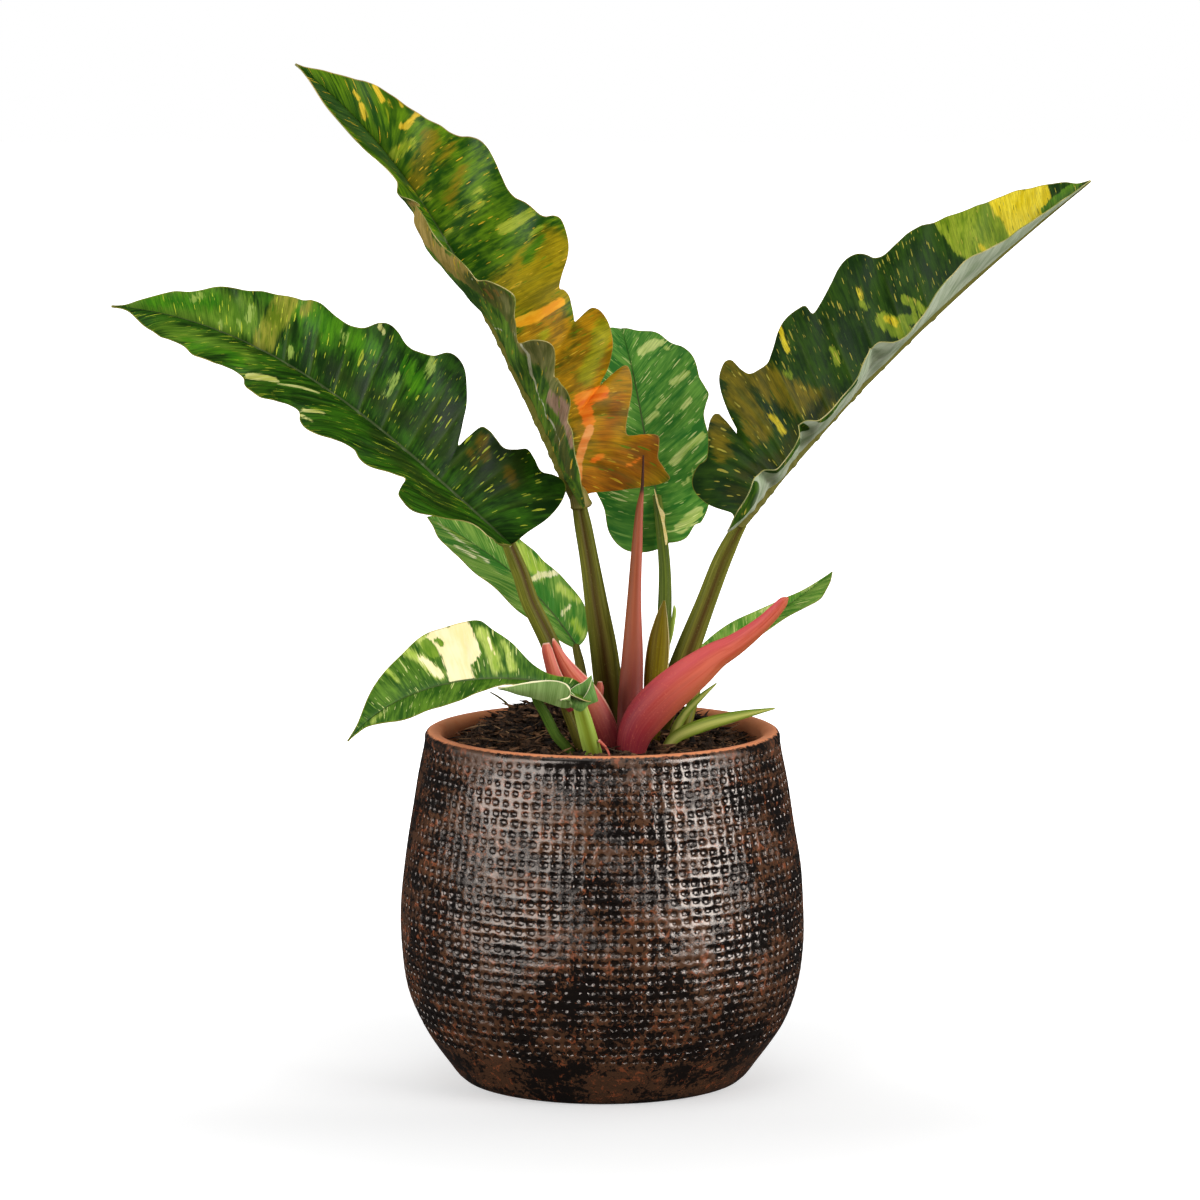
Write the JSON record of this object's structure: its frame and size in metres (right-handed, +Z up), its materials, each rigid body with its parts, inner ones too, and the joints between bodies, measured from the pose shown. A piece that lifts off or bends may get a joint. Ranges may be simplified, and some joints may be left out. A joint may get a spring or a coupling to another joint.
{
  "type": "potted ring of fire philodendron",
  "caption": "House plant with long lobed, flecked leaves, pink sheaths and a bud, growing in a round dimpled clay pot filled with bark soil.",
  "frame": {"origin": "centre of the pot's flat foot, on the surface that it stands on", "axes": "+Z up, -Y toward the viewer, +X to the right of the picture"},
  "size_m": [0.5878, 0.2621, 0.6245],
  "materials": {
    "pot": "glossy mottled glaze over brown clay",
    "soil": "matt bark and fibre",
    "leaf_left": "satin, dark green with lime and yellow flecks",
    "leaf_tall": "satin, green to amber with orange patches",
    "leaf_right": "satin, dark green with yellow patches",
    "leaf_back": "satin, mid green with pale flecks",
    "leaf_shaded": "satin, lime and green",
    "leaf_cream": "satin, green with a cream patch",
    "leaf_side": "satin, light green with pale flecks",
    "stalk": "satin olive",
    "young_stalk": "satin lime",
    "sheath": "satin coral pink",
    "sheath_brown": "satin brown pink",
    "bud": "satin olive with a pale edge",
    "bract": "satin yellow green",
    "bark": "matt bark"
  },
  "bodies": {
    "root": {"pot": "pot", "soil": "soil", "blade_left": "leaf_left", "blade_tall": "leaf_tall", "blade_right": "leaf_right", "blade_back": "leaf_back", "blade_shaded": "leaf_shaded", "blade_cream": "leaf_cream", "blade_side": "leaf_side", "stalk_left": "stalk", "stalk_tall": "stalk", "stalk_right": "stalk", "stalk_back": "stalk", "stalk_shaded": "stalk", "stalk_cream": "young_stalk", "stalk_side": "stalk", "sheath_centre": "sheath_brown", "sheath_right": "sheath", "sheath_left": "sheath", "bud": "bud", "bract_right_long": "bract", "bract_right_short": "bract", "bract_left": "stalk", "bract_left_inner": "stalk", "crown_stump": "bark"}
  },
  "joints": []
}
